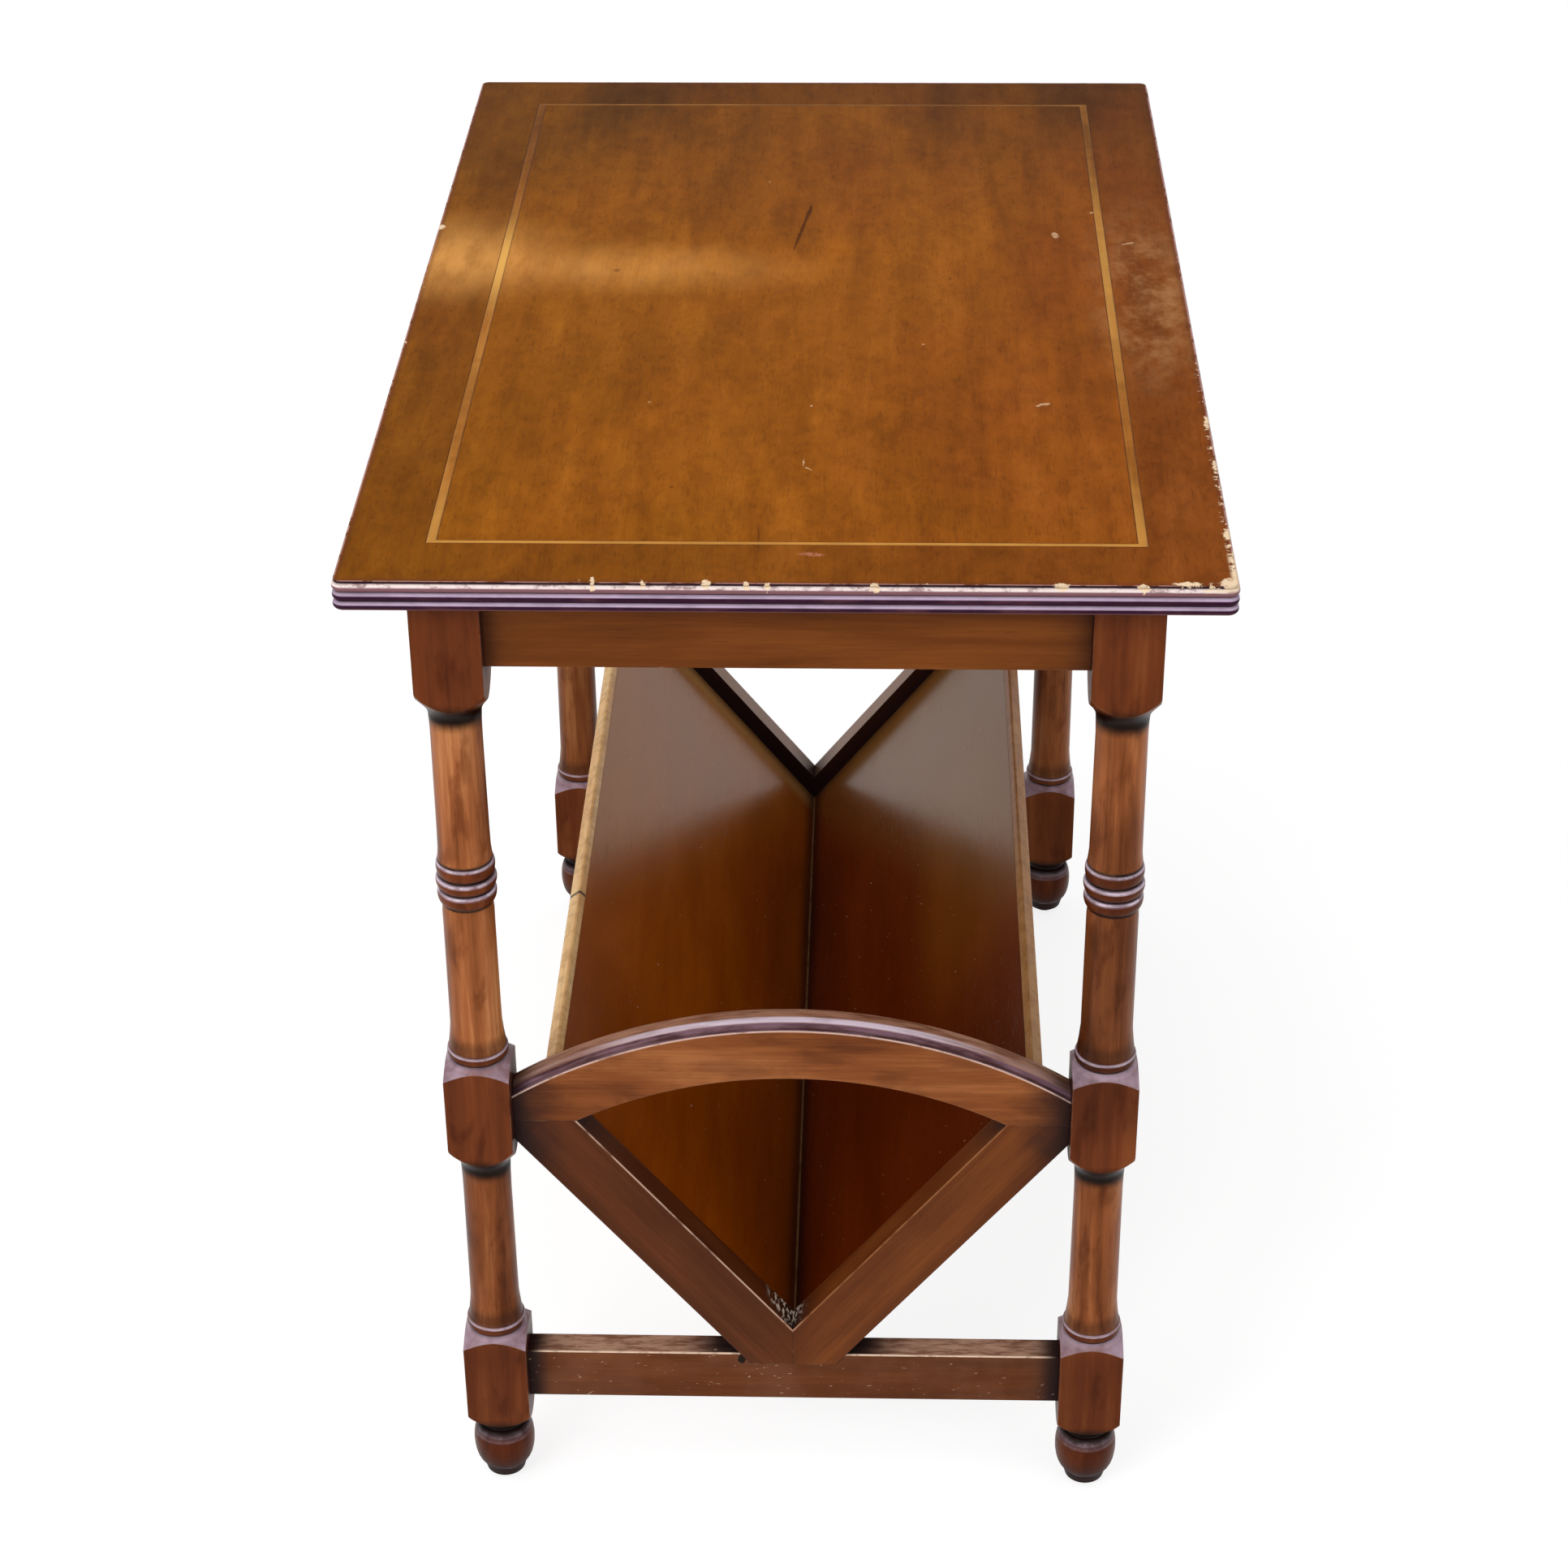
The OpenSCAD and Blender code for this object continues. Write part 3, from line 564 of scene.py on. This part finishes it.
def paint_rail(g, colour):
    """A darker left rail, painted shade by the legs and along the lower edges, and at the back painted
    near-black shade on the inner faces and painted sky light on the faces that look up.
    """
    colour = g.shade(colour, g.times(g.span(g.x, 0.02, -0.02), front(g)), (0.70, 0.66, 0.80))
    colour = g.shade(colour, g.times(g.span(g.x, -0.02, 0.02), front(g)), (1.14, 1.12, 1.05))
    # Painted shade by the legs
    colour = g.mix(shade_by_legs(g), colour, GRIME_AND_SHADE)
    # Painted shade along the lower edges
    lower = g.times(g.span(v_height(g), -0.022, -0.030), 0.45)
    colour = g.shade(colour, lower, (0.4, 0.34, 0.36))
    # At the back: painted sky light on the faces that look up, and painted near-black shade on the inner
    # faces
    back = g.span(g.y, 0.0, 0.1)
    colour = g.mix(g.times(back, g.span(g.up, 0.3, 0.5), 0.75), colour, srgb(158, 122, 100))
    inner = g.span(g.size(g.y), FRAME_INSIDE + 0.0006, FRAME_INSIDE + 0.0001)
    near_black = g.mix(right_of_middle(g), srgb(24, 6, 6), srgb(58, 28, 10))
    return g.mix(g.times(inner, back, 0.93), colour, near_black)


def mark_rail(g, colour):
    """A pale line on the outer face's inner edge, and crumbs at the front end of the valley."""
    on_face = g.span(g.size(g.y), FRAME_FACE - 0.0006, FRAME_FACE - 0.0001)
    line = g.times(g.near(v_height(g), 0.0, 0.0010, 0.3), on_face)
    tint = g.mix(right_of_middle(g), srgb(216, 178, 156), srgb(160, 104, 64))
    colour = g.mix(g.times(line, broken_line(g, 120, 0.3, 0.55, 0.2), 0.85), colour, tint)
    return g.mix(crumbs_at_apex(g), colour, srgb(226, 208, 190))


def crumbs_at_apex(g):
    """Flecks of old glue and dust where the valley meets the front frame, and none on its outer face."""
    crumb = g.span(g.noise(g.vector("MULTIPLY", g.position, (1, 0.5, 1)), 620, 2, 0.5), 0.51, 0.55)
    heap = g.oval(g.shaken(200, 0.008), *CRUMB_HEAP, 0, 0.7)
    return g.times(crumb, heap, g.span(g.y, 0.0002 - FRAME_FACE, 0.0005 - FRAME_FACE), 0.95)


def paint_arch(g, colour):
    """Smudges, and painted shade by the legs."""
    smudges = g.patchy((30, 30, 60), 3, 0.6, 0.4)
    colour = g.shade(colour, g.times(g.span(smudges, 0.50, 0.68), 0.6), (0.56, 0.52, 0.56))
    return g.mix(shade_by_legs(g), colour, GRIME_AND_SHADE)


def mark_arch(g, colour):
    """A moulding with a tan back, a painted highlight on its round, a purple ledge of grime and painted
    shade, and a pale line on its edge.
    """
    radius = g.vector("LENGTH", g.join(g.x, 0.0, g.less(g.z, ARCH_CENTRE_Z)))
    depth = g.less(FRAME_FACE, g.size(g.y))
    moulding = g.times(g.span(radius, ARCH_R - 0.0032, ARCH_R - 0.0026), g.span(g.up, 0.1, 0.3))
    streaks = g.span(g.patchy((40, 300, 40), 3, 0.6), 0.34, 0.62)
    colour = g.mix(g.times(moulding, 0.75), colour, g.mix(streaks, srgb(128, 80, 60), srgb(186, 138, 112)))
    # Painted highlight on the round
    shine = g.times(g.near(depth, 0.0066, 0.0028, 0.45), g.span(streaks, 0.0, 1.0, 0.7, 1.0))
    ends = g.span(g.size(g.x), 0.108, 0.05, 0.12, 1.0)
    colour = g.mix(g.times(moulding, shine, ends), colour, srgb(238, 220, 236))
    # Grime and painted shade on the ledge
    ledge = g.times(g.span(depth, 0.0050, 0.0038), moulding)
    colour = g.mix(g.times(ledge, 0.9), colour, g.mix(streaks, srgb(66, 42, 52), srgb(120, 92, 110)))
    line = g.times(g.near(g.less(ARCH_R - 0.002, radius), 0.0, 0.0010, 0.4), g.span(depth, 0.0007, 0.0002))
    return g.mix(g.times(line, broken_line(g, 110, 0.30, 0.5, 0.3), 0.9), colour, srgb(226, 190, 176))


def paint_trough(g, colour):
    """A right board darkened as painted shade, a painted reflection, painted light and an olive place inside,
    and dark dirt beside the valley and at its front end.
    """
    # Painted shade on the right board
    colour = g.shade(colour, g.span(g.x, -0.001, 0.001), (0.38, 0.245, 0.5))
    colour = g.shade(colour, g.span(g.y, -0.06, -0.18), (0.86, 0.82, 0.9))
    out = g.size(g.x)
    inside = g.span(g.up, 0.0, 0.2)
    # A painted reflection above a slanting line that ends in the valley at the rear, and painted light beside
    # the rear frame on the left
    painted_reflection = g.times(g.span(g.plus(g.y, g.times(out, REFLECTION_SLOPE)), REFLECTION_START, REFLECTION_FULL), inside)
    colour = g.mix(g.times(painted_reflection, 0.26), colour, srgb(198, 154, 84))
    by_frame = g.times(g.span(g.y, 0.232, 0.246), g.span(g.x, 0.001, -0.001), inside)
    colour = g.mix(g.times(by_frame, 0.6), colour, srgb(188, 146, 92))
    olive = g.times(g.near(g.x, 0.088, 0.034, 0.3), g.near(g.y, 0.02, 0.17, 0.3), inside)
    colour = g.mix(g.times(olive, 0.3), colour, srgb(150, 92, 18))
    colour = g.shade(colour, g.times(g.span(out, 0.0050, 0.0008), 0.6), (0.35, 0.3, 0.35))
    return g.shade(colour, g.oval(g.position, *VALLEY_DIRT, 0, 1), (0.2, 0.15, 0.2))


def mark_trough(g, colour):
    """Old glue along the valley, crumbs at its front end, and a few light specks."""
    gaps = g.span(g.patchy((0, 60, 0), 3, 0.7), 0.34, 0.56, 0.4, 1.0)
    line = g.times(g.span(g.size(g.x), 0.0007, 0.0003), gaps)
    colour = g.mix(g.times(line, 0.6), colour, srgb(164, 126, 84))
    specks = g.times(g.span(g.noise(g.position, 420, 2, 0.5), 0.75, 0.78), 0.5)
    return g.mix(g.most(crumbs_at_apex(g), specks), colour, srgb(224, 206, 186))


def paint_stretcher(g, colour):
    """Dust on the face and the top, a painted sheen on the top, and painted shade by the legs and the V."""
    out_x = g.size(g.x)
    dust_and_sheen = g.span(g.noise(g.position, 26, 3, 0.6), 0.36, 0.64)
    colour = g.mix(g.times(dust_and_sheen, 0.3), colour, srgb(124, 82, 62))
    # Dust and a painted sheen on the faces that look up
    upper = g.span(g.up, 0.5, 0.8)
    streaks = g.span(g.patchy((90, 420, 90), 3, 0.6), 0.34, 0.62)
    colour = g.mix(g.times(upper, 0.85), colour, g.mix(streaks, srgb(136, 94, 74), srgb(192, 152, 128)))
    # Painted shade by the legs and the V
    ends = g.most(g.span(out_x, 0.120, 0.130), g.times(g.span(out_x, 0.048, 0.034), upper))
    return g.mix(g.times(ends, 0.85), colour, srgb(26, 15, 20))


def mark_stretcher(g, colour):
    """Scratches, a pale line along the outer edge, and the open notch left of the front V, painted dark as
    the shade in it.
    """
    stretched = g.vector("MULTIPLY", g.shaken(60, 0.01), (240, 240, 900))
    scratch = g.span(g.noise(stretched, 1, 2, 0.5), 0.70, 0.74)
    colour = g.mix(g.times(scratch, 0.6), colour, srgb(206, 170, 140))
    line = g.times(g.span(g.z, STRETCHER_TOP - 0.0009, STRETCHER_TOP - 0.0004),
                   g.span(g.size(g.y), FRAME_FACE - 0.0008, FRAME_FACE - 0.0004))
    between_legs = g.span(g.size(g.x), 0.131, 0.122)
    line = g.times(line, broken_line(g, 110, 0.30, 0.5, 0.4), between_legs)
    colour = g.mix(line, colour, srgb(246, 214, 188))
    # Painted shade for the open notch
    gap = g.oval(g.shaken(400, 0.002), *OPEN_NOTCH, 0, 0.4)
    return g.mix(gap, colour, srgb(8, 4, 4))


def paint_lipping(g, colour):
    """Rubbed pale on the left, darker on the right, with a dark break in the left one."""
    colour = g.shade(colour, g.span(g.x, -0.02, 0.02), (0.50, 0.38, 0.29))
    rubbed = g.span(g.noise(g.position, 130, 4, 0.7), 0.42, 0.62)
    colour = g.shade(colour, g.times(rubbed, 0.45), (0.55, 0.42, 0.3))
    split = g.times(g.near(g.y, LIPPING_BREAK_Y, 0.0014, 0.5), g.span(g.x, 0.0, -0.02))
    return g.mix(g.times(split, 0.9), colour, GRIME_AND_SHADE)


def steel(name):
    """Dull steel of the screws, with a little rust."""
    g = Graph(name)
    rust = g.span(g.noise(g.position, 500, 3, 0.65), 0.50, 0.66, 0.0, 0.7)
    colour = g.mix(rust, srgb(150, 148, 146), srgb(104, 66, 44))
    rough = g.span(rust, 0.0, 0.7, 0.34, 0.7)
    return g.finish(colour, rough, g.normal, 0.5, (1.0, 1.0, 1.0), g.times(g.rest(rust), 0.9))


# Each wood's dark, middle and light tones
RED = (srgb(116, 62, 30), srgb(166, 98, 56), srgb(210, 144, 92))
APRON = (srgb(92, 45, 12), srgb(112, 57, 17), srgb(132, 72, 26))
RAIL = (srgb(74, 34, 12), srgb(94, 47, 18), srgb(116, 62, 28))
ARCH = (srgb(100, 49, 20), srgb(134, 74, 36), srgb(166, 102, 58))
TOP = (srgb(126, 68, 7), srgb(149, 83, 12), srgb(168, 98, 22))
TROUGH = (srgb(136, 62, 0), srgb(151, 71, 1), srgb(166, 82, 4))
BOXWOOD = (srgb(168, 104, 34), srgb(190, 126, 50), srgb(212, 152, 70))
OLD_BOXWOOD = (srgb(146, 84, 24), srgb(168, 104, 38), srgb(192, 130, 58))
LIPPING = (srgb(216, 156, 94), srgb(244, 196, 132), srgb(255, 226, 172))
SOFTWOOD = (srgb(166, 128, 84), srgb(186, 148, 102), srgb(204, 168, 122))
PALE = (srgb(168, 130, 88), srgb(192, 152, 106), srgb(212, 174, 130))

MATERIALS = {
    "top_wood": wood("top_wood", "y", TOP, 1.0, grime_and_shade=0.4, edge=0.2, specular=0.03, roughness=0.36,
                     corner=0.008, mottle=0.5, streak=0.6, spread=0.24, paint=paint_top,
                     gloss_tint=TOP_VARNISH),
    "stringing_across": wood("stringing_across", "x", BOXWOOD, 2.0, grime_and_shade=0, edge=0, specular=0.04,
                             paint=paint_stringing),
    "stringing_along": wood("stringing_along", "y", OLD_BOXWOOD, 3.0, grime_and_shade=0, edge=0, specular=0.04,
                            paint=paint_stringing),
    "leg_wood": wood("leg_wood", "z", RED, 4.0, grime_and_shade=0.95, edge=0.7, dust_and_sheen=0.85, specular=0.1, streak=0.8,
                     spread=0.13, bands_at=115, paint=paint_leg, marks=mark_leg),
    "apron_end_wood": wood("apron_end_wood", "x", APRON, 5.0, paint=paint_apron),
    "apron_side_wood": wood("apron_side_wood", "y", APRON, 6.0, paint=paint_apron),
    "stretcher_wood": wood("stretcher_wood", "x", RAIL, 7.0, grime_and_shade=0.95, edge=0.7, paint=paint_stretcher,
                           marks=mark_stretcher),
    "arch_wood": wood("arch_wood", "x", ARCH, 8.0, grime_and_shade=0.95, paint=paint_arch, marks=mark_arch),
    "v_rail_wood": wood("v_rail_wood", "v", RAIL, 9.0, grime_and_shade=0.95, edge=0.35, paint=paint_rail,
                        marks=mark_rail),
    "trough_wood": wood("trough_wood", "y", TROUGH, 10.0, grime_and_shade=0.5, edge=0.2, specular=0.17, roughness=0.22,
                        corner=0.011, streak=0.4, paint=paint_trough, marks=mark_trough,
                        gloss_tint=OLD_VARNISH),
    "lipping_wood": wood("lipping_wood", "y", LIPPING, 11.0, grime_and_shade=0.5, edge=0.3, paint=paint_lipping),
    "block_wood": wood("block_wood", "z", SOFTWOOD, 12.0, roughness=0.6),
    "dowel_wood": wood("dowel_wood", "x", PALE, 13.0, roughness=0.6),
    "screw_steel": steel("screw_steel"),
}

for row in frame["record"]["subparts"]:
    slots = NODES[row["node"]].data.materials
    slots.clear()
    slots.append(MATERIALS[row["material_slot"]])


# Floor, world, lights and camera

FLOOR_HALF = 30.0
FLOOR_CORNERS = [(-FLOOR_HALF, -FLOOR_HALF, 0), (FLOOR_HALF, -FLOOR_HALF, 0),
                 (FLOOR_HALF, FLOOR_HALF, 0), (-FLOOR_HALF, FLOOR_HALF, 0)]
FLOOR_LIT = (0.8, 0.8, 0.8)
FLOOR_SEEN = (0.32, 0.32, 0.32)
FLOOR_GLOW = 0.80

# The world's strength as light, as background, and in reflections, where it dims between two heights
WORLD_LIGHT = 0.55
WORLD_SEEN = 1.0
WORLD_DIMMED = 0.12
DIMS_BETWEEN = (0.12, 0.35)

LAMPS = (  # name, place, point it looks at, size, watts
    ("overhead", (-0.5, -0.5, 2.3), (-0.1, -0.1, 0.4), (1.4, 2.2), 15),
    ("key", (-1.3, -1.9, 1.5), (0, 0, 0.3), (1.1, 1.1), 20),
    ("fill", (1.6, -1.6, 1.0), (0, 0, 0.3), (1.4, 1.4), 8),
)


def seen_directly(tree):
    """1 for rays that show the floor or the world, 0 for those that light the object, and the path node."""
    path = tree.nodes.new("ShaderNodeLightPath")
    seen = path.outputs["Is Camera Ray"]
    for name in ("Is Glossy Ray", "Is Transmission Ray"):
        either = tree.nodes.new("ShaderNodeMath")
        either.operation = "MAXIMUM"
        tree.links.new(seen, either.inputs[0])
        tree.links.new(path.outputs[name], either.inputs[1])
        seen = either.outputs[0]
    return seen, path


floor_mesh = bpy.data.meshes.new("floor")
floor_mesh.from_pydata(FLOOR_CORNERS, [], [(0, 1, 2, 3)])
floor = bpy.data.objects.new("floor", floor_mesh)
bpy.context.scene.collection.objects.link(floor)

g = Graph("floor_paint")
seen, _ = seen_directly(g.tree)
lit = g.node("ShaderNodeBsdfDiffuse")
g.put(lit.inputs["Color"], g.mix(seen, FLOOR_LIT, FLOOR_SEEN))
glow = g.node("ShaderNodeEmission")
g.put(glow.inputs["Color"], (1, 1, 1))
g.put(glow.inputs["Strength"], g.times(seen, FLOOR_GLOW))
both = g.node("ShaderNodeAddShader")
g.put(both.inputs[0], lit.outputs[0])
g.put(both.inputs[1], glow.outputs[0])
g.put(g.node("ShaderNodeOutputMaterial").inputs["Surface"], both.outputs[0])
floor.data.materials.append(g.material)

world = bpy.data.worlds.new("studio")
bpy.context.scene.world = world
world.use_nodes = True
tree = world.node_tree
tree.nodes.clear()
seen, path = seen_directly(tree)
coordinates = tree.nodes.new("ShaderNodeTexCoord")
split = tree.nodes.new("ShaderNodeSeparateXYZ")
tree.links.new(coordinates.outputs["Generated"], split.inputs[0])
high = tree.nodes.new("ShaderNodeMapRange")
high.inputs["From Min"].default_value, high.inputs["From Max"].default_value = DIMS_BETWEEN
high.inputs["To Min"].default_value = WORLD_SEEN
high.inputs["To Max"].default_value = WORLD_DIMMED
tree.links.new(split.outputs[2], high.inputs["Value"])
strength = tree.nodes.new("ShaderNodeMix")
tree.links.new(path.outputs["Is Glossy Ray"], strength.inputs[0])
direct = tree.nodes.new("ShaderNodeMapRange")
direct.inputs["To Min"].default_value = WORLD_LIGHT
direct.inputs["To Max"].default_value = WORLD_SEEN
tree.links.new(seen, direct.inputs["Value"])
tree.links.new(direct.outputs[0], strength.inputs[2])
tree.links.new(high.outputs[0], strength.inputs[3])
background = tree.nodes.new("ShaderNodeBackground")
tree.links.new(strength.outputs[0], background.inputs["Strength"])
background.inputs["Color"].default_value = (1, 1, 1, 1)
out = tree.nodes.new("ShaderNodeOutputWorld")
tree.links.new(background.outputs[0], out.inputs["Surface"])


def soft_box(name, at, look, size, power):
    data = bpy.data.lights.new(name, "AREA")
    data.shape = "RECTANGLE"
    data.size, data.size_y = size
    data.energy = power
    lamp = bpy.data.objects.new(name, data)
    bpy.context.scene.collection.objects.link(lamp)
    lamp.location = at
    lamp.rotation_euler = (Vector(look) - Vector(at)).to_track_quat("-Z", "Y").to_euler()


for lamp in LAMPS:
    soft_box(*lamp)

camera_data = bpy.data.cameras.new("camera")
camera_data.sensor_width = 36
camera_data.lens = LENS
camera = bpy.data.objects.new("camera", camera_data)
bpy.context.scene.collection.objects.link(camera)
pitch, yaw, roll = (math.radians(a) for a in (PITCH_DOWN, YAW, ROLL))
forward = Vector((math.sin(yaw) * math.cos(pitch), math.cos(yaw) * math.cos(pitch), -math.sin(pitch)))
right = Vector((math.cos(yaw), -math.sin(yaw), 0))
up = right.cross(forward)
turned_right = right * math.cos(roll) + up * math.sin(roll)
turned_up = up * math.cos(roll) - right * math.sin(roll)
rotation = Matrix((turned_right, turned_up, -forward)).transposed()
camera.matrix_world = Matrix.Translation(CAMERA_AT) @ rotation.to_4x4()
bpy.context.scene.camera = camera

bpy.context.scene.view_settings.view_transform = "Standard"
